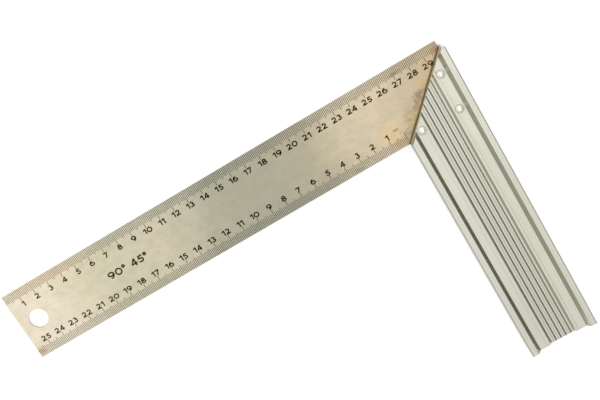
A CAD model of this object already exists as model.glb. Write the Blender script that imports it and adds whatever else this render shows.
import math
import random

import bmesh
import bpy
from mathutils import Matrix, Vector


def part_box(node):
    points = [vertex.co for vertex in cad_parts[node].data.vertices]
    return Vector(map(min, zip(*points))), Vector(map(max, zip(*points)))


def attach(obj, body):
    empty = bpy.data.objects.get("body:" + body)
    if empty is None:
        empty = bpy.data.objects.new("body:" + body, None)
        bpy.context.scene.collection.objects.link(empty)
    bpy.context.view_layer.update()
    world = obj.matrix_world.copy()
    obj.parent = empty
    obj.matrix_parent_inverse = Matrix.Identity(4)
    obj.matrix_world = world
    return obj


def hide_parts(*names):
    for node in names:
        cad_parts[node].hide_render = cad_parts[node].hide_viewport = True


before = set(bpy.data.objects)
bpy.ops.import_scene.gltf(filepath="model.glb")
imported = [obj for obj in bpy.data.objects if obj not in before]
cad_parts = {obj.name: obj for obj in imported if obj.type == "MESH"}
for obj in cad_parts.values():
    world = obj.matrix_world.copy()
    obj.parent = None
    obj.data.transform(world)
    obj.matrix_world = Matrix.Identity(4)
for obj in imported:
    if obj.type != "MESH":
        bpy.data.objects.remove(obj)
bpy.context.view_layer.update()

# Fixed try-and-mitre square: graduated steel blade riveted into an extruded aluminium stock.
# Lengths below are in millimetres unless a name says otherwise; MM turns them into metres.

MM = 0.001
BLADE_LOW, BLADE_HIGH = (Vector(corner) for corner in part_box("blade"))
STOCK_LOW, STOCK_HIGH = (Vector(corner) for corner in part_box("stock"))

# ---- sizes taken from the frame ----

BLADE_LENGTH = (BLADE_HIGH.x - BLADE_LOW.x) / MM
BLADE_WIDTH = (BLADE_HIGH.y - BLADE_LOW.y) / MM
BLADE_THICKNESS = (BLADE_HIGH.z - BLADE_LOW.z) / MM
INNER_FACE = (STOCK_LOW.x - BLADE_LOW.x) / MM      # from the blade's free end to the stock
OUTER_FACE = (STOCK_HIGH.x - BLADE_LOW.x) / MM
STOCK_WIDTH = OUTER_FACE - INNER_FACE
STOCK_CENTRE = (INNER_FACE + OUTER_FACE) / 2
STOCK_END = (BLADE_HIGH.y - STOCK_LOW.y) / MM      # from the blade's outer edge to the far end
NOSE_SETBACK = (BLADE_HIGH.y - STOCK_HIGH.y) / MM
RAIL_RISE = (STOCK_HIGH.z - BLADE_HIGH.z) / MM
MITRE_SUM = INNER_FACE + BLADE_WIDTH               # along + across is this much on the mitre

# ---- the stock's relief: heights above the blade's face, distances from its centre line ----

BAND_RISE = 5.5
RIDGE_RISE = 4.1
VALLEY_RISE = 3.7
RAIL_INNER = 17.6
SLOPE_FOOT = 15.45
BAND_INNER = 8.6
STEP_FOOT = 7.4
GROOVE_CENTRE = 10.55
GROOVE_WIDTH = 0.9
GROOVE_DEPTH = 0.06
RIDGE_PITCH = 3.32
RIDGE_TOP_WIDTH = 0.8
RIDGE_FOOT_WIDTH = 2.4
RAIL_EDGE_RADIUS = 0.75
RELIEF_RADIUS = 0.18
RIDGE_RADIUS = 0.4
STEP_FOOT_RADIUS = 0.45
NOSE_RADIUS = 1.2
NOSE_OVERHANG = 0.05

# ---- holes, slot and rivets ----

HANGING_HOLE_RADIUS = 6
HANGING_HOLE_FROM_END = 12.5
SLOT_CLEARANCE = 0.1
RIVET_OFFSET = 12.2
NOSE_RIVET_DROP = 17.4
ROOT_RIVET_DROP = 40.3
RIVET_HOLE_RADIUS = 1.8
SHANK_RADIUS = 1.5
RECESS_RADIUS = 2.65
RECESS_DEPTH = 0.35

RIVET_PLACES = {
    "rivet_nose": (STOCK_CENTRE + RIVET_OFFSET, NOSE_RIVET_DROP),
    "rivet_outer": (STOCK_CENTRE + RIVET_OFFSET, ROOT_RIVET_DROP),
    "rivet_inner": (STOCK_CENTRE - RIVET_OFFSET, ROOT_RIVET_DROP),
}

# ---- meshing ----

HOLE_STEPS = 32                    # corners round a rivet's hole
RECESS_STEPS = 64
HANGING_HOLE_STEPS = 96
RIVET_STEPS = 72
NOSE_STEPS = 8
RELIEF_STEPS = 4
CUTTER_REACH = 2.0                 # how far a cutter goes past what it cuts
BLADE_BEVEL = 0.07
STOCK_BEVEL = 0.1
WELD_DISTANCE = 1e-7               # in metres
FLAT_ANGLE = math.radians(0.5)
BEVEL_ANGLE = math.radians(35)
SHARP_ANGLE = math.radians(30)
RIVET_SHARP_ANGLE = math.radians(50)

# ---- graduations ----

TICK_WIDTH = 0.32
TICK_LENGTHS = {1: 5.5, 5: 6.6, 10: 7.9}
INK_HEIGHT = 0.02
NUMERAL_HEIGHT = 3.5
NUMERAL_STROKE = 0.225             # as a part of the numeral's height
OUTER_NUMERAL_TOP = 8.3            # from the outer edge to the top of the numerals
INNER_NUMERAL_FOOT = 8.1           # from the inner edge to their feet
NUMERAL_GAP = 0.1                  # between two digits, as a part of their height
SCALE_MARGIN = 0.1                 # between the marks and the blade's edge

UNIT_MARK_PLACE = (INNER_FACE - 3.4, 34.2)
UNIT_MARK_HEIGHT = 1.4
UNIT_MARK_STROKE = 0.14            # as a part of the mark's height
ANGLE_MARK_PLACE = (77.5, 25.0)
ANGLE_MARK_HEIGHT = 4.8
ANGLE_MARK_STROKE = 0.2

# ---- camera ----

CAMERA_PLACE = (239.81, -87.32, 537.3)
CAMERA_TURN = (-14.293, 0.25, -31.157)    # in degrees
CAMERA_LENS = 56.25
CAMERA_SENSOR = 36
CAMERA_SHIFT = 0.0667

# ---- light and floor ----

FLOOR_HALF_SIZE = 12.0             # in metres
FLOOR_DROP = 0.0002                # in metres, below the stock

# Each row is a smooth step in the sky's brightness: (direction, from, to, before, after), where
# from and to are cosines of the angle between that direction and the one looked in. They multiply.
SKY = (
    ((1, 0, 0), -0.92, -0.5, 0.6, 1.0),
    ((0, 1, 0), -0.7, 0.1, 0.85, 1.28),
    ((0.74, -0.34, 0.58), 0.82, 0.97, 1.0, 0.12),
)

ROOT = "root"
SEED = 11


# ---- places ----

def place(along, across, rise=0.0):
    """A point from the blade's free outer corner: along the blade, across it, above its face."""
    return Vector((
        BLADE_LOW.x + along * MM,
        BLADE_HIGH.y - across * MM,
        BLADE_HIGH.z + rise * MM,
    ))


# ---- mesh helpers ----

def new_object(name, mesh):
    piece = bpy.data.objects.new(name, mesh)
    bpy.context.scene.collection.objects.link(piece)
    return piece


def mesh_object(name, bm):
    bmesh.ops.recalc_face_normals(bm, faces=bm.faces)
    mesh = bpy.data.meshes.new(name)
    bm.to_mesh(mesh)
    bm.free()
    return new_object(name, mesh)


def prism(name, outline, direction):
    """A closed solid from a flat outline of points, pushed along a direction."""
    bm = bmesh.new()
    base = bm.faces.new([bm.verts.new(point) for point in outline])
    pushed = bmesh.ops.extrude_face_region(bm, geom=[base])["geom"]
    corners = [item for item in pushed if isinstance(item, bmesh.types.BMVert)]
    bmesh.ops.translate(bm, verts=corners, vec=direction)
    return mesh_object(name, bm)


def circle(along, across, radius, rise, steps):
    """A ring of points round an upright axis."""
    turns = [2 * math.pi * i / steps for i in range(steps)]
    return [place(along + radius * math.cos(t), across + radius * math.sin(t), rise) for t in turns]


def cut(piece, cutter):
    """Takes cutter's shape out of piece at once, and removes the cutter."""
    modifier = piece.modifiers.new("cut", "BOOLEAN")
    modifier.operation = "DIFFERENCE"
    modifier.solver = "EXACT"
    modifier.object = cutter
    apply_modifiers(piece)
    bpy.data.objects.remove(cutter)


def apply_modifiers(piece):
    graph = bpy.context.evaluated_depsgraph_get()
    finished = bpy.data.meshes.new_from_object(piece.evaluated_get(graph))
    piece.modifiers.clear()
    old = piece.data
    piece.data = finished
    bpy.data.meshes.remove(old)


def dissolve_flat(piece):
    """Joins the flat faces that the cuts have split."""
    bm = bmesh.new()
    bm.from_mesh(piece.data)
    bmesh.ops.remove_doubles(bm, verts=bm.verts, dist=WELD_DISTANCE)
    bmesh.ops.dissolve_limit(bm, angle_limit=FLAT_ANGLE, verts=bm.verts, edges=bm.edges)
    bm.to_mesh(piece.data)
    bm.free()


def soften_edges(piece, width):
    """Rounds the sharp edges a little and shades the rest smooth."""
    bevel = piece.modifiers.new("bevel", "BEVEL")
    bevel.width = width * MM
    bevel.segments = 2
    bevel.limit_method = "ANGLE"
    bevel.angle_limit = BEVEL_ANGLE
    bevel.harden_normals = False
    apply_modifiers(piece)
    smooth(piece)


def smooth(piece, angle=SHARP_ANGLE):
    """Smooth shading between the sharp edges, with the large faces left flat."""
    piece.data.shade_smooth()
    piece.data.set_sharp_from_angle(angle=angle)
    weighted = piece.modifiers.new("weighted", "WEIGHTED_NORMAL")
    weighted.weight = 100
    weighted.keep_sharp = True
    apply_modifiers(piece)


def finish_piece(piece, material, slot, *nodes):
    """Gives a piece its material, body and slot, and the CAD nodes that it stands for."""
    piece.data.materials.clear()
    piece.data.materials.append(material)
    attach(piece, ROOT)
    if nodes:
        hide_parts(*nodes)


# ---- camera ----

def make_camera():
    camera = bpy.data.cameras.new("view")
    camera.sensor_width = CAMERA_SENSOR
    camera.lens = CAMERA_LENS
    camera.shift_x = CAMERA_SHIFT
    camera.clip_start = 0.01
    holder = new_object("view", camera)
    holder.location = place(*CAMERA_PLACE)
    holder.rotation_euler = [math.radians(angle) for angle in CAMERA_TURN]
    bpy.context.scene.camera = holder


# ---- shader helpers ----

class Shader:
    """A material's node tree, with one short call for each kind of node used here."""

    def __init__(self, name):
        self.material = bpy.data.materials.new(name)
        self.material.use_nodes = True
        self.tree = self.material.node_tree
        self.surface = self.tree.nodes["Principled BSDF"]
        coordinates = self.tree.nodes.new("ShaderNodeTexCoord")
        self.position = coordinates.outputs["Object"]

    def link(self, source, target):
        self.tree.links.new(source, target)

    def value(self, target, amount):
        if isinstance(amount, bpy.types.NodeSocket):
            self.link(amount, target)
        else:
            target.default_value = amount

    def math(self, operation, first, second=0.0):
        node = self.tree.nodes.new("ShaderNodeMath")
        node.operation = operation
        self.value(node.inputs[0], first)
        self.value(node.inputs[1], second)
        return node.outputs[0]

    def stretched(self, scale):
        """The position scaled along each axis: a small number draws a pattern out along it."""
        node = self.tree.nodes.new("ShaderNodeMapping")
        node.inputs["Scale"].default_value = scale
        self.link(self.position, node.inputs["Vector"])
        return node.outputs["Vector"]

    def noise(self, vector, scale, detail=2.0, roughness=0.5):
        node = self.tree.nodes.new("ShaderNodeTexNoise")
        node.inputs["Scale"].default_value = scale
        node.inputs["Detail"].default_value = detail
        node.inputs["Roughness"].default_value = roughness
        self.link(vector, node.inputs["Vector"])
        return node.outputs["Fac"]

    def remap(self, amount, low, high, to_low=0.0, to_high=1.0):
        return smooth_step(self.tree, amount, low, high, to_low, to_high)

    def ramp(self, amount, stops):
        node = self.tree.nodes.new("ShaderNodeValToRGB")
        elements = node.color_ramp.elements
        while len(elements) < len(stops):
            elements.new(0.5)
        for element, (position, colour) in zip(elements, stops):
            element.position = position
            element.color = (*linear(colour), 1)
        self.link(amount, node.inputs["Fac"])
        return node.outputs["Color"]

    def mix(self, amount, first, second, blend="MIX"):
        node = self.tree.nodes.new("ShaderNodeMix")
        node.data_type = "RGBA"
        node.blend_type = blend
        self.value(node.inputs["Factor"], amount)
        for socket, colour in ((node.inputs[6], first), (node.inputs[7], second)):
            if isinstance(colour, bpy.types.NodeSocket):
                self.link(colour, socket)
            else:
                socket.default_value = (*linear(colour), 1)
        return node.outputs[2]

    def bump(self, height, distance, strength=1.0):
        node = self.tree.nodes.new("ShaderNodeBump")
        node.inputs["Strength"].default_value = strength
        node.inputs["Distance"].default_value = distance
        self.link(height, node.inputs["Height"])
        self.link(node.outputs["Normal"], self.surface.inputs["Normal"])

    def distance(self, centre, size, turn):
        """Distance from an upright axis, in units of an ellipse's half length and half width."""
        node = self.tree.nodes.new("ShaderNodeMapping")
        node.vector_type = "TEXTURE"
        node.inputs["Location"].default_value = (centre.x, centre.y, 0)
        node.inputs["Rotation"].default_value = (0, 0, -math.radians(turn))
        node.inputs["Scale"].default_value = (size[0] * MM, size[1] * MM, 1)
        self.link(self.position, node.inputs["Vector"])
        flat = self.tree.nodes.new("ShaderNodeVectorMath")
        flat.operation = "MULTIPLY"
        flat.inputs[1].default_value = (1, 1, 0)
        self.link(node.outputs["Vector"], flat.inputs[0])
        length = self.tree.nodes.new("ShaderNodeVectorMath")
        length.operation = "LENGTH"
        self.link(flat.outputs["Vector"], length.inputs[0])
        return length.outputs["Value"]

    def upright_faces(self, steep, shallow):
        """1 where the normal's height is under the first limit, 0 where it is over the second."""
        geometry = self.tree.nodes.new("ShaderNodeNewGeometry")
        parts = self.tree.nodes.new("ShaderNodeSeparateXYZ")
        self.link(geometry.outputs["True Normal"], parts.inputs[0])
        level = self.math("ABSOLUTE", parts.outputs["Z"])
        return self.remap(level, steep, shallow, 1.0, 0.0)

    def facing(self, direction):
        """1 on faces whose outward normal is this direction, 0 on those that turn away from it."""
        geometry = self.tree.nodes.new("ShaderNodeNewGeometry")
        dot = self.tree.nodes.new("ShaderNodeVectorMath")
        dot.operation = "DOT_PRODUCT"
        dot.inputs[1].default_value = direction
        self.link(geometry.outputs["True Normal"], dot.inputs[0])
        return self.remap(dot.outputs["Value"], 0.8, 0.95)

    def axis(self, name):
        node = self.tree.nodes.new("ShaderNodeSeparateXYZ")
        self.link(self.position, node.inputs[0])
        return node.outputs[name]


def linear(colour):
    """An sRGB colour, 0 to 255 a channel, as scene-linear numbers; over 255 goes over 1."""
    return [(c / 255 / 12.92) if c <= 10 else ((c / 255 + 0.055) / 1.055) ** 2.4 for c in colour]


def smooth_step(tree, amount, low, high, to_low, to_high):
    """A socket that goes smoothly from to_low, where amount is low, to to_high, where it is high."""
    node = tree.nodes.new("ShaderNodeMapRange")
    node.interpolation_type = "SMOOTHSTEP"
    tree.links.new(amount, node.inputs["Value"])
    names = ("From Min", "From Max", "To Min", "To Max")
    for name, number in zip(names, (low, high, to_low, to_high)):
        node.inputs[name].default_value = number
    return node.outputs["Result"]


# ---- materials ----

def near_rivets(shader, inner, outer):
    """1 within the inner radius of any rivet's axis, falling to 0 at the outer one."""
    masks = []
    for along, across in RIVET_PLACES.values():
        distance = shader.distance(place(along, across), (1, 1), 0)
        masks.append(shader.remap(distance, inner, outer, 1.0, 0.0))
    nearest = masks[0]
    for mask in masks[1:]:
        nearest = shader.math("MAXIMUM", nearest, mask)
    return nearest


def stock_material():
    """Satin extruded aluminium: die lines along Y, faint clouding, grime in the rivets' recesses."""
    shader = Shader("extruded_aluminium")
    lines = shader.noise(shader.stretched((1, 0.004, 1)), 2600, 3, 0.6)
    fine_lines = shader.noise(shader.stretched((1, 0.02, 1)), 9000, 1, 0.5)
    clouds = shader.noise(shader.stretched((1, 0.35, 1)), 90, 3, 0.55)
    base = shader.mix(shader.remap(clouds, 0.3, 0.7), (212, 211, 196), (218, 216, 202))
    base = shader.mix(shader.remap(lines, 0.35, 0.7, 0.0, 0.35), base, (200, 198, 182))
    grime = near_rivets(shader, RECESS_RADIUS + 0.02, RECESS_RADIUS + 0.12)
    base = shader.mix(shader.math("MULTIPLY", grime, 0.42), base, (88, 82, 66))
    x, y = shader.axis("X"), shader.axis("Y")
    height = shader.math("SUBTRACT", shader.axis("Z"), BLADE_HIGH.z)

    # The ridged middle and every flank are a little duller than the bands.
    ridged = shader.remap(height, RIDGE_RISE * MM, BAND_RISE * MM, 0.4, 0.0)
    base = shader.mix(ridged, base, (194, 193, 176))
    flank = shader.upright_faces(0.84, 0.96)
    base = shader.mix(flank, base, (196, 197, 182))

    # Dirt has gathered at the far ends of the rails' slopes, and along the inner face's lip.
    slope_end = shader.remap(y, STOCK_LOW.y + 1.2 * MM, STOCK_LOW.y + 4.4 * MM, 1.0, 0.0)
    above_band = shader.remap(height, (BAND_RISE - 0.2) * MM, BAND_RISE * MM)
    slope_end = shader.math("MULTIPLY", shader.math("MULTIPLY", slope_end, flank), above_band)
    fading = shader.remap(x, STOCK_LOW.x, STOCK_HIGH.x, 0.6, 0.3)
    base = shader.mix(shader.math("MULTIPLY", slope_end, fading), base, (66, 70, 58))
    lip = shader.remap(x, STOCK_LOW.x + 0.3 * MM, STOCK_LOW.x + 0.7 * MM, 0.62, 0.0)
    base = shader.mix(lip, base, (112, 116, 108))

    # The sides show their die lines; the sawn mitre, the nose and the sawn end have their own tones.
    side = shader.upright_faces(0.05, 0.3)
    side_lines = shader.mix(shader.remap(lines, 0.35, 0.7), (186, 186, 174), (168, 167, 154))
    base = shader.mix(side, base, side_lines)
    sawn = shader.facing((-0.707, 0.707, 0))
    cut_face = shader.mix(shader.remap(height, 0.2 * MM, 2 * MM), (134, 124, 100), (216, 210, 188))
    cut_face = shader.mix(shader.remap(height, 4.5 * MM, 6 * MM), cut_face, (188, 182, 158))
    base = shader.mix(sawn, base, cut_face)
    base = shader.mix(shader.facing((0, 1, 0)), base, (206, 204, 224))
    saw_marks = shader.remap(shader.noise(shader.stretched((1, 1, 0.03)), 2200, 3, 0.6), 0.35, 0.65)
    end_face = shader.facing((0, -1, 0))
    base = shader.mix(end_face, base, shader.mix(saw_marks, (152, 151, 140), (196, 194, 181)))
    shader.link(base, shader.surface.inputs["Base Color"])
    shader.surface.inputs["Metallic"].default_value = 1.0

    roughness = shader.remap(fine_lines, 0.3, 0.7, 0.2, 0.26)
    for mask, added in ((sawn, 0.25), (end_face, 0.15), (flank, 0.08)):
        roughness = shader.math("ADD", roughness, shader.math("MULTIPLY", mask, added))
    shader.link(roughness, shader.surface.inputs["Roughness"])
    shader.bump(lines, 0.00002, 0.4)
    return shader.material


# Tone of the steel along the blade, from its free end: warm where it has yellowed, grey between.
STEEL_TONES = (
    (0.0, (232, 221, 199)),
    (0.1, (229, 219, 196)),
    (0.155, (218, 209, 183)),
    (0.23, (205, 199, 173)),
    (0.34, (205, 197, 172)),
    (0.41, (192, 186, 163)),
    (0.48, (171, 169, 148)),
    (0.6, (170, 167, 147)),
    (0.68, (178, 171, 148)),
    (0.75, (204, 192, 165)),
    (0.84, (217, 201, 172)),
    (0.88, (203, 189, 160)),
    (0.94, (200, 184, 154)),
    (1.0, (203, 185, 155)),
)
# Tone of the ink along the blade, from its free end.
INK_TONES = (
    (0.0, (84, 68, 42)),
    (0.2, (66, 54, 32)),
    (0.32, (26, 20, 8)),
    (0.42, (10, 8, 3)),
    (0.56, (8, 6, 2)),
    (0.66, (18, 14, 5)),
    (0.78, (34, 27, 13)),
    (0.9, (66, 54, 32)),
    (1.0, (76, 62, 38)),
)
# Tarnish on the steel: (along, across), (half length, half width), turn in degrees, colour, strength.
TARNISH = (
    ((253, 34.5), (9, 5), 0, (222, 186, 132), 0.45),
    ((274, 26), (13, 2), -45, (172, 146, 104), 0.45),
    ((266, 33), (5, 3), -20, (200, 168, 118), 0.4),
    ((265.5, 32.4), (2, 0.5), 0, (150, 132, 104), 0.4),
    ((266.5, 28.5), (4, 1.8), -25, (176, 150, 108), 0.45),
    ((276.5, 23.5), (3.4, 3), 30, (156, 132, 110), 0.7),
    ((279, 21.5), (3.4, 1.2), -5, (132, 122, 114), 0.7),
    ((273, 27.5), (3.4, 2), -40, (158, 128, 96), 0.5),
    ((283, 18.6), (4, 1.3), -12, (204, 164, 106), 0.5),
    ((283, 16.5), (5, 3), -30, (206, 176, 130), 0.4),
    ((271, 4.4), (3.6, 1), 0, (110, 80, 45), 0.4),
    ((296.5, 4.5), (2, 1.3), -30, (186, 134, 84), 0.4),
    ((291, 7.5), (6, 3), -20, (208, 172, 120), 0.35),
    ((266, 37), (4, 3), -45, (176, 148, 106), 0.5),
    ((262, 40), (3, 5), -40, (160, 150, 132), 0.6),
    ((254, 42), (5.5, 2.6), 0, (206, 164, 110), 0.4),
    ((256, 13), (1.8, 1.4), 0, (196, 170, 120), 0.4),
    ((226, 43), (2.5, 1.2), 0, (146, 116, 82), 0.45),
    ((2.4, 41), (2.6, 2.2), 0, (190, 150, 96), 0.5),
    ((28, 3), (32, 4), 0, (236, 208, 164), 0.4),
    ((44.5, 13), (0.5, 6), 0, (198, 188, 162), 0.4),
    ((38.5, 12.5), (2.4, 3.4), 0, (204, 194, 167), 0.35),
    ((2.4, 21), (0.6, 11), 0, (220, 202, 166), 0.5),
)


def blade_material():
    """Stainless steel: a fine grain along the blade, mottling, tarnish and darker sheared edges."""
    shader = Shader("brushed_steel")
    along = shader.math("SUBTRACT", shader.axis("X"), BLADE_LOW.x)
    wander = shader.noise(shader.stretched((1, 1, 1)), 45, 3, 0.6)
    along = shader.math("ADD", along, shader.remap(wander, 0.2, 0.8, -0.008, 0.008))
    along = shader.math("DIVIDE", along, BLADE_LENGTH * MM)
    base = shader.ramp(along, STEEL_TONES)
    mottling = shader.noise(shader.stretched((0.7, 1, 1)), 260, 4, 0.6)
    base = shader.mix(shader.remap(mottling, 0.35, 0.75, 0.0, 0.16), base, (150, 134, 104))
    grain = shader.noise(shader.stretched((0.02, 1, 1)), 5000, 2, 0.6)
    base = shader.mix(shader.remap(grain, 0.35, 0.7, 0.0, 0.12), base, (140, 132, 112))

    ragged = shader.noise(shader.stretched((1, 1, 1)), 420, 5, 0.62)
    for centre, size, turn, colour, strength in TARNISH:
        distance = shader.distance(place(*centre), size, turn)
        distance = shader.math("ADD", distance, shader.remap(ragged, 0.2, 0.8, 0.75, -0.75))
        base = shader.mix(shader.remap(distance, 0.3, 1.5, strength, 0.0), base, colour)

    # The strip that each scale's marks stand on is a little brighter than the rest.
    from_middle = shader.math("SUBTRACT", shader.axis("Y"), (BLADE_LOW.y + BLADE_HIGH.y) / 2)
    from_middle = shader.math("ABSOLUTE", from_middle)
    scale_foot = (BLADE_WIDTH / 2 - TICK_LENGTHS[1]) * MM
    polished = shader.remap(from_middle, scale_foot - 0.3 * MM, scale_foot + 0.3 * MM)
    base = shader.mix(polished, base, (262, 264, 269), "MULTIPLY")

    # Grime lies along the mitre, and the sheared edges are dark.
    joint = place(MITRE_SUM, 0)
    corner = shader.math("SUBTRACT", shader.axis("X"), shader.axis("Y"))
    corner = shader.remap(corner, joint.x - joint.y - 2.1 * MM, joint.x - joint.y - 0.5 * MM, 0.0, 0.7)
    base = shader.mix(corner, base, (84, 72, 48))
    edge = shader.upright_faces(0.3, 0.8)
    base = shader.mix(shader.math("MULTIPLY", edge, 0.75), base, (60, 56, 50))

    shader.link(base, shader.surface.inputs["Base Color"])
    shader.surface.inputs["Metallic"].default_value = 1.0
    roughness = shader.remap(mottling, 0.3, 0.7, 0.29, 0.36)
    shader.link(roughness, shader.surface.inputs["Roughness"])
    shader.bump(grain, 0.00001, 0.4)
    return shader.material


def rivet_material():
    """Rivets burnished bright where the punch struck them, and duller on the collar round it."""
    shader = Shader("struck_rivet")
    struck = near_rivets(shader, 1.4, 1.52)
    scuffs = shader.noise(shader.stretched((1, 1, 1)), 1800, 3, 0.6)
    collar = shader.mix(shader.remap(scuffs, 0.3, 0.7), (206, 203, 184), (222, 219, 204))
    base = shader.mix(struck, collar, (250, 249, 244))
    shader.link(base, shader.surface.inputs["Base Color"])
    shader.surface.inputs["Metallic"].default_value = 1.0
    shader.link(shader.remap(scuffs, 0.3, 0.7, 0.2, 0.3), shader.surface.inputs["Roughness"])
    shader.bump(scuffs, 0.00003, 0.3)
    return shader.material


def ink_material():
    """Etched black fill, browner and thinner towards both ends of the blade, with worn specks."""
    shader = Shader("scale_ink")
    along = shader.math("SUBTRACT", shader.axis("X"), BLADE_LOW.x)
    base = shader.ramp(shader.math("DIVIDE", along, BLADE_LENGTH * MM), INK_TONES)
    wear = shader.noise(shader.stretched((1, 1, 1)), 1500, 3, 0.6)
    base = shader.mix(shader.remap(wear, 0.5, 0.75, 0.0, 0.5), base, (92, 76, 46))
    shader.link(base, shader.surface.inputs["Base Color"])
    shader.surface.inputs["Roughness"].default_value = 0.7
    shader.surface.inputs["Specular IOR Level"].default_value = 0.12
    return shader.material


def floor_material():
    shader = Shader("pale_floor")
    shader.surface.inputs["Base Color"].default_value = (0.6, 0.6, 0.6, 1)
    shader.surface.inputs["Roughness"].default_value = 0.9
    shader.surface.inputs["Emission Color"].default_value = (1, 1, 1, 1)
    shader.surface.inputs["Emission Strength"].default_value = 0.6
    return shader.material


# ---- blade ----

def make_blade(material):
    low = -BLADE_THICKNESS
    outline = [place(*corner) for corner in (
        (0, 0, low), (BLADE_LENGTH, 0, low), (BLADE_LENGTH, BLADE_WIDTH, low), (0, BLADE_WIDTH, low),
    )]
    blade = prism("steel_blade", outline, (0, 0, BLADE_THICKNESS * MM))
    holes = [(HANGING_HOLE_FROM_END, BLADE_WIDTH / 2, HANGING_HOLE_RADIUS, HANGING_HOLE_STEPS)]
    holes += [(*centre, RIVET_HOLE_RADIUS, HOLE_STEPS) for centre in RIVET_PLACES.values()]
    for along, across, radius, steps in holes:
        ring = circle(along, across, radius, low - CUTTER_REACH, steps)
        cut(blade, prism("drill", ring, (0, 0, (BLADE_THICKNESS + 2 * CUTTER_REACH) * MM)))
    dissolve_flat(blade)
    soften_edges(blade, BLADE_BEVEL)
    finish_piece(blade, material, "blade_steel", "blade")


# ---- stock ----

def half_relief():
    """The section's relief from the centre line to the rail, as (distance, rise, radius)."""
    points = []
    for i in range(2):
        centre = (i + 0.5) * RIDGE_PITCH
        points += [
            (centre - RIDGE_FOOT_WIDTH / 2, VALLEY_RISE, RIDGE_RADIUS),
            (centre - RIDGE_TOP_WIDTH / 2, RIDGE_RISE, RIDGE_RADIUS),
            (centre + RIDGE_TOP_WIDTH / 2, RIDGE_RISE, RIDGE_RADIUS),
            (centre + RIDGE_FOOT_WIDTH / 2, VALLEY_RISE, RIDGE_RADIUS),
        ]
    points += [
        (STEP_FOOT, VALLEY_RISE, STEP_FOOT_RADIUS),
        (BAND_INNER, BAND_RISE, RELIEF_RADIUS),
        (GROOVE_CENTRE - GROOVE_WIDTH / 2, BAND_RISE, RELIEF_RADIUS),
        (GROOVE_CENTRE, BAND_RISE - GROOVE_DEPTH, RELIEF_RADIUS),
        (GROOVE_CENTRE + GROOVE_WIDTH / 2, BAND_RISE, RELIEF_RADIUS),
        (SLOPE_FOOT, BAND_RISE, RELIEF_RADIUS),
        (RAIL_INNER, RAIL_RISE, RELIEF_RADIUS),
    ]
    return points


def rounded(corners, steps):
    """A closed outline with each corner, given as (x, y, radius), turned into an arc."""
    outline = []
    for i, (x, y, radius) in enumerate(corners):
        corner = Vector((x, y))
        before = Vector(corners[i - 1][:2]) - corner
        after = Vector(corners[(i + 1) % len(corners)][:2]) - corner
        half_angle = before.angle(after) / 2
        if radius == 0 or half_angle > math.radians(89.5):
            outline.append(corner)
            continue
        reach = min(radius / math.tan(half_angle), 0.45 * before.length, 0.45 * after.length)
        true_radius = reach * math.tan(half_angle)
        bisector = (before.normalized() + after.normalized()).normalized()
        centre = corner + bisector * (true_radius / math.sin(half_angle))
        start = corner + before.normalized() * reach - centre
        sweep = start.angle_signed(corner + after.normalized() * reach - centre)
        for step in range(steps + 1):
            turn = -sweep * step / steps
            c, s = math.cos(turn), math.sin(turn)
            outline.append(centre + Vector((start.x * c - start.y * s, start.x * s + start.y * c)))
    return outline


def stock_section():
    """The whole section round its centre, the underside a mirror of the top."""
    half = [(x, rise + BLADE_THICKNESS / 2, radius) for x, rise, radius in half_relief()]
    side = STOCK_WIDTH / 2
    top = RAIL_RISE + BLADE_THICKNESS / 2
    edge = (side, top, RAIL_EDGE_RADIUS)
    right_top = half + [edge]
    left_top = [(-x, z, r) for x, z, r in reversed(right_top)]
    upper = left_top + right_top
    lower = [(x, -z, r) for x, z, r in reversed(upper)]
    return rounded(upper + lower, RELIEF_STEPS)


def saw_plan():
    """The material that the saw takes away beyond the mitre and round the nose, seen in plan."""
    clear = CUTTER_REACH
    round_along = OUTER_FACE - NOSE_RADIUS + NOSE_OVERHANG
    round_across = NOSE_SETBACK + NOSE_RADIUS
    plan = [(INNER_FACE - clear, MITRE_SUM - INNER_FACE + clear)]
    plan += [(MITRE_SUM - NOSE_SETBACK, NOSE_SETBACK)]
    for i in range(NOSE_STEPS + 1):
        turn = math.pi / 2 * i / NOSE_STEPS
        plan.append((
            round_along + NOSE_RADIUS * math.sin(turn),
            round_across - NOSE_RADIUS * math.cos(turn),
        ))
    plan += [(OUTER_FACE + clear, round_across), (OUTER_FACE + clear, -2 * clear)]
    plan += [(INNER_FACE - clear, -2 * clear)]
    return plan


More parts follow.
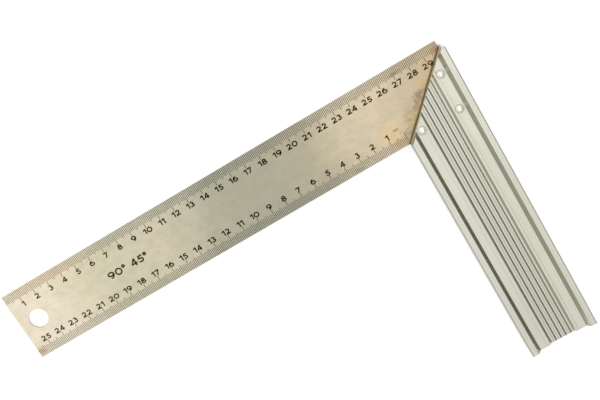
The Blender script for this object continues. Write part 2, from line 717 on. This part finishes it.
def make_stock(material):
    clear = CUTTER_REACH
    middle = -BLADE_THICKNESS / 2
    section = [place(STOCK_CENTRE + point.x, -clear, middle + point.y) for point in stock_section()]
    stock = prism("aluminium_stock", section, (0, -(STOCK_END + clear) * MM, 0))

    depth = (2 * RAIL_RISE + BLADE_THICKNESS + 2 * clear) * MM
    floor = -BLADE_THICKNESS - RAIL_RISE - clear
    waste = prism("waste", [place(x, y, floor) for x, y in saw_plan()], (0, 0, depth))
    cut(stock, waste)

    slot_low = -BLADE_THICKNESS - SLOT_CLEARANCE
    slot_end = BLADE_WIDTH + SLOT_CLEARANCE
    corners = (
        (INNER_FACE - clear, -clear), (OUTER_FACE + clear, -clear),
        (OUTER_FACE + clear, slot_end), (INNER_FACE - clear, slot_end),
    )
    thickness = (BLADE_THICKNESS + 2 * SLOT_CLEARANCE) * MM
    cut(stock, prism("slot", [place(x, y, slot_low) for x, y in corners], (0, 0, thickness)))

    upper_floor = BAND_RISE - RECESS_DEPTH
    lower_floor = -BLADE_THICKNESS - upper_floor
    for along, across in RIVET_PLACES.values():
        hole = circle(along, across, RIVET_HOLE_RADIUS, floor, HOLE_STEPS)
        cut(stock, prism("hole", hole, (0, 0, depth)))
        upper = circle(along, across, RECESS_RADIUS, upper_floor, RECESS_STEPS)
        cut(stock, prism("recess", upper, (0, 0, depth)))
        lower = circle(along, across, RECESS_RADIUS, lower_floor, RECESS_STEPS)
        cut(stock, prism("recess", lower, (0, 0, -depth)))
    dissolve_flat(stock)
    soften_edges(stock, STOCK_BEVEL)
    finish_piece(stock, material, "stock_aluminium", "stock")


# ---- rivets ----

# Number of punched scallops round each head, and how deep they are.
RIVET_SCALLOPS = {
    "rivet_nose": (7, 0.22),
    "rivet_outer": (6, 0.34),
    "rivet_inner": (9, 0.05),
}
# A head from its centre out: (radius, rise above the band, whether the scallops move it).
HEAD_RINGS = (
    (0.25, 0.09, False),
    (0.42, 0.1, False),
    (0.58, 0.15, False),
    (0.78, 0.19, False),
    (1.0, 0.195, False),
    (1.22, 0.16, False),
    (1.36, 0.08, False),
    (1.44, -0.06, False),
    (1.55, -0.14, False),
    (1.85, -0.15, True),
    (2.1, -0.12, True),
    (2.22, -0.16, True),
    (2.28, -0.33, True),
)


def make_rivet(node, material):
    """A solid rivet with both ends formed: a dimpled crown in a scalloped, upset collar."""
    along, across = RIVET_PLACES[node]
    lobes, depth = RIVET_SCALLOPS[node]
    phase = random.uniform(0, 2 * math.pi)
    middle = -BLADE_THICKNESS / 2
    band = BLADE_THICKNESS / 2 + BAND_RISE
    bm = bmesh.new()

    def ring(radius, height, scalloped, side):
        points = []
        for i in range(RIVET_STEPS):
            turn = 2 * math.pi * i / RIVET_STEPS
            reach = radius
            if scalloped:
                reach += depth * (abs(math.cos(lobes * turn / 2 + phase)) - 0.6)
            points.append(bm.verts.new(place(
                along + reach * math.cos(turn),
                across + reach * math.sin(turn),
                middle + side * height,
            )))
        return points

    def bridge(first, second):
        for i in range(RIVET_STEPS):
            j = (i + 1) % RIVET_STEPS
            bm.faces.new((first[i], first[j], second[j], second[i]))

    rings = []
    for side in (1, -1):
        heads = [ring(radius, band + rise, moved, side) for radius, rise, moved in HEAD_RINGS]
        heads.append(ring(SHANK_RADIUS, band - RECESS_DEPTH + 0.02, False, side))
        bm.faces.new(heads[0])
        for first, second in zip(heads, heads[1:]):
            bridge(first, second)
        rings.append(heads[-1])
    bridge(*rings)
    rivet = mesh_object(node + "_formed", bm)
    smooth(rivet, RIVET_SHARP_ANGLE)
    finish_piece(rivet, material, "rivet_aluminium", node)


# ---- graduations ----

def add_block(bm, along, across, size_along, size_across):
    """A thin mark lying on the blade, from its low corner."""
    corners = []
    for rise in (0.0, INK_HEIGHT):
        for dx, dy in ((0, 0), (1, 0), (1, 1), (0, 1)):
            point = place(along + dx * size_along, across + dy * size_across, rise)
            corners.append(bm.verts.new(point))
    for face in ((0, 1, 2, 3), (4, 5, 6, 7), (0, 1, 5, 4), (1, 2, 6, 5), (2, 3, 7, 6), (3, 0, 4, 7)):
        bm.faces.new([corners[i] for i in face])


def tick_length(number):
    """The length of the mark that stands this many millimetres from zero."""
    for step in (10, 5, 1):
        if number % step == 0:
            return TICK_LENGTHS[step]


def add_stroke(bm, points, width, closed):
    """A flat line of even width along a list of (along, across) points, lying on the blade."""
    path = [Vector(point) for point in points]
    count = len(path)
    sides = []
    for i, point in enumerate(path):
        before = path[i - 1] if (closed or i > 0) else None
        after = path[(i + 1) % count] if (closed or i < count - 1) else None
        into = (point - before).normalized() if before is not None else (after - point).normalized()
        out = (after - point).normalized() if after is not None else into
        tangent = (into + out).normalized()
        spread = 1 / max(0.5, tangent.dot(into))
        offset = Vector((-tangent.y, tangent.x)) * (width / 2 * spread)
        sides.append([
            bm.verts.new(place(*(point + sign * offset), rise))
            for sign, rise in ((1, 0.0), (-1, 0.0), (-1, INK_HEIGHT), (1, INK_HEIGHT))
        ])
    spans = count if closed else count - 1
    for i in range(spans):
        first, second = sides[i], sides[(i + 1) % count]
        for k in range(4):
            bm.faces.new((first[k], first[(k + 1) % 4], second[(k + 1) % 4], second[k]))
    if not closed:
        bm.faces.new(sides[0])
        bm.faces.new(sides[-1])


def arc(x, y, rx, ry, start, end, steps=14):
    """Points on an ellipse between two angles in degrees, anticlockwise from +x."""
    turns = [math.radians(start + (end - start) * i / steps) for i in range(steps + 1)]
    return [(x + rx * math.cos(t), y + ry * math.sin(t)) for t in turns]


EDGE = NUMERAL_STROKE / 2
# Each glyph in units of its own height, y up: its width, then its strokes as centre lines with
# whether each one closes on itself.
GLYPHS = {
    "0": (1.02, [(arc(0.51, 0.5, 0.51 - EDGE, 0.5 - EDGE, 0, 345, 23), True)]),
    "1": (0.56, [([(0.03, 0.7), (0.4, 0.9)], False), ([(0.44, 1.0), (0.44, 0.0)], False)]),
    "2": (0.88, [
        (arc(0.42, 0.66, 0.29, 0.235, 165, -38) + [(0.16, 0.12)], False),
        ([(0.04, EDGE), (0.86, EDGE)], False),
    ]),
    "3": (0.82, [
        (arc(0.38, 0.71, 0.24, 0.185, 155, -90), False),
        (arc(0.38, 0.31, 0.31, 0.205, 90, -155), False),
    ]),
    "4": (0.92, [([(0.64, 1.0), (0.64, 0.0)], False), ([(0.6, 0.9), (0.14, 0.3), (0.9, 0.3)], False)]),
    "5": (0.84, [
        ([(0.78, 1 - EDGE), (0.28, 1 - EDGE), (0.2, 0.52)], False),
        (arc(0.41, 0.34, 0.31, 0.235, 128, -152), False),
    ]),
    "6": (0.94, [
        (arc(0.47, 0.345, 0.36, 0.24, 0, 345, 23), True),
        (arc(0.84, 0.37, 0.73, 0.56, 108, 180), False),
    ]),
    "7": (0.84, [([(0.02, 1 - EDGE), (0.7, 1 - EDGE), (0.28, 0.0)], False)]),
    "8": (0.92, [
        (arc(0.46, 0.72, 0.26, 0.175, 0, 345, 23), True),
        (arc(0.46, 0.3, 0.34, 0.2, 0, 345, 23), True),
    ]),
    "9": (0.94, [
        (arc(0.47, 0.655, 0.36, 0.24, 0, 345, 23), True),
        (arc(0.1, 0.63, 0.73, 0.56, -72, 0), False),
    ]),
    "m": (1.1, [
        ([(0.1, 0.0), (0.1, 1.0)], False),
        (arc(0.32, 0.62, 0.22, 0.3, 180, 0) + [(0.54, 0.0)], False),
        (arc(0.76, 0.62, 0.22, 0.3, 180, 0) + [(0.98, 0.0)], False),
    ]),
    "degree": (0.5, [(arc(0.24, 0.82, 0.15, 0.15, 0, 345, 15), True)]),
    "space": (0.5, []),
}


def add_text(bm, glyphs, centre_along, foot_across, height, stroke=NUMERAL_STROKE):
    """Glyphs in a row centred on a place, their feet towards the inner edge."""
    widths = [GLYPHS[glyph][0] * height for glyph in glyphs]
    gap = NUMERAL_GAP * height
    left = centre_along - (sum(widths) + gap * (len(glyphs) - 1)) / 2
    for glyph, width in zip(glyphs, widths):
        for points, closed in GLYPHS[glyph][1]:
            path = [(left + x * height, foot_across - y * height) for x, y in points]
            add_stroke(bm, path, stroke * height, closed)
        left += width + gap


def make_scale(name, ticks, numbers, material):
    """One edge's scale: the millimetre marks in one piece and its numerals in another."""
    bm = bmesh.new()
    for along, edge, direction, length in ticks:
        across = edge if direction > 0 else edge - length
        add_block(bm, along - TICK_WIDTH / 2, across, TICK_WIDTH, length)
    finish_piece(mesh_object(name + "_marks", bm), material, "scale_ink")
    bm = bmesh.new()
    for number, along, foot in numbers:
        add_text(bm, str(number), along, foot, NUMERAL_HEIGHT)
    finish_piece(mesh_object(name + "_numerals", bm), material, "scale_ink")


def make_graduations(material):
    """The outer scale runs from the free end, and the inner one from the stock."""
    margin = SCALE_MARGIN
    outer_ticks = []
    for number in range(1, int(BLADE_LENGTH)):
        limit = MITRE_SUM - number - margin
        outer_ticks.append((number, margin, 1, min(tick_length(number), limit) - margin))
    outer_foot = OUTER_NUMERAL_TOP + NUMERAL_HEIGHT
    outer_numbers = [(n, 10 * n, outer_foot) for n in range(1, 30)]
    make_scale("outer_scale", outer_ticks, outer_numbers, material)

    inner_ticks = []
    edge = BLADE_WIDTH - margin
    for number in range(int(INNER_FACE) + 1):
        inner_ticks.append((INNER_FACE - number, edge, -1, tick_length(number) - margin))
    inner_foot = BLADE_WIDTH - INNER_NUMERAL_FOOT
    inner_numbers = [(n, INNER_FACE - 10 * n, inner_foot) for n in range(1, 26)]
    make_scale("inner_scale", inner_ticks, inner_numbers, material)


def make_marks(material):
    """The unit mark beside the inner scale's zero, and the square's two angles on its middle."""
    bm = bmesh.new()
    add_text(bm, "mm", *UNIT_MARK_PLACE, UNIT_MARK_HEIGHT, UNIT_MARK_STROKE)
    finish_piece(mesh_object("unit_mark", bm), material, "scale_ink")
    bm = bmesh.new()
    glyphs = ["9", "0", "degree", "space", "4", "5", "degree"]
    add_text(bm, glyphs, *ANGLE_MARK_PLACE, ANGLE_MARK_HEIGHT, ANGLE_MARK_STROKE)
    finish_piece(mesh_object("angle_mark", bm), material, "scale_ink")


# ---- studio ----

def make_world():
    """A bright ceiling, dimmer to the left and the far side, with one dark card on the right."""
    world = bpy.data.worlds.new("studio")
    world.use_nodes = True
    tree = world.node_tree
    background = tree.nodes["Background"]
    coordinates = tree.nodes.new("ShaderNodeTexCoord")
    level = None
    for direction, low, high, to_low, to_high in SKY:
        cosine = tree.nodes.new("ShaderNodeVectorMath")
        cosine.operation = "DOT_PRODUCT"
        cosine.inputs[1].default_value = Vector(direction).normalized()
        tree.links.new(coordinates.outputs["Generated"], cosine.inputs[0])
        step = smooth_step(tree, cosine.outputs["Value"], low, high, to_low, to_high)
        if level is None:
            level = step
            continue
        product = tree.nodes.new("ShaderNodeMath")
        product.operation = "MULTIPLY"
        tree.links.new(level, product.inputs[0])
        tree.links.new(step, product.inputs[1])
        level = product.outputs[0]
    tree.links.new(level, background.inputs["Strength"])
    background.inputs["Color"].default_value = (1, 1, 1, 1)
    bpy.context.scene.world = world


def make_studio():
    """The sky and a plain pale floor that the square lies on."""
    bpy.context.scene.view_settings.view_transform = "Standard"
    make_world()
    bm = bmesh.new()
    half = FLOOR_HALF_SIZE
    corners = ((-half, -half), (half, -half), (half, half), (-half, half))
    bm.faces.new([bm.verts.new((x, y, -FLOOR_DROP)) for x, y in corners])
    floor = mesh_object("floor", bm)
    floor.data.materials.append(floor_material())


def main():
    random.seed(SEED)
    make_camera()
    make_studio()
    aluminium = stock_material()
    make_blade(blade_material())
    make_stock(aluminium)
    rivet_look = rivet_material()
    for node in RIVET_PLACES:
        make_rivet(node, rivet_look)
    ink = ink_material()
    make_graduations(ink)
    make_marks(ink)


main()
bpy.context.view_layer.update()
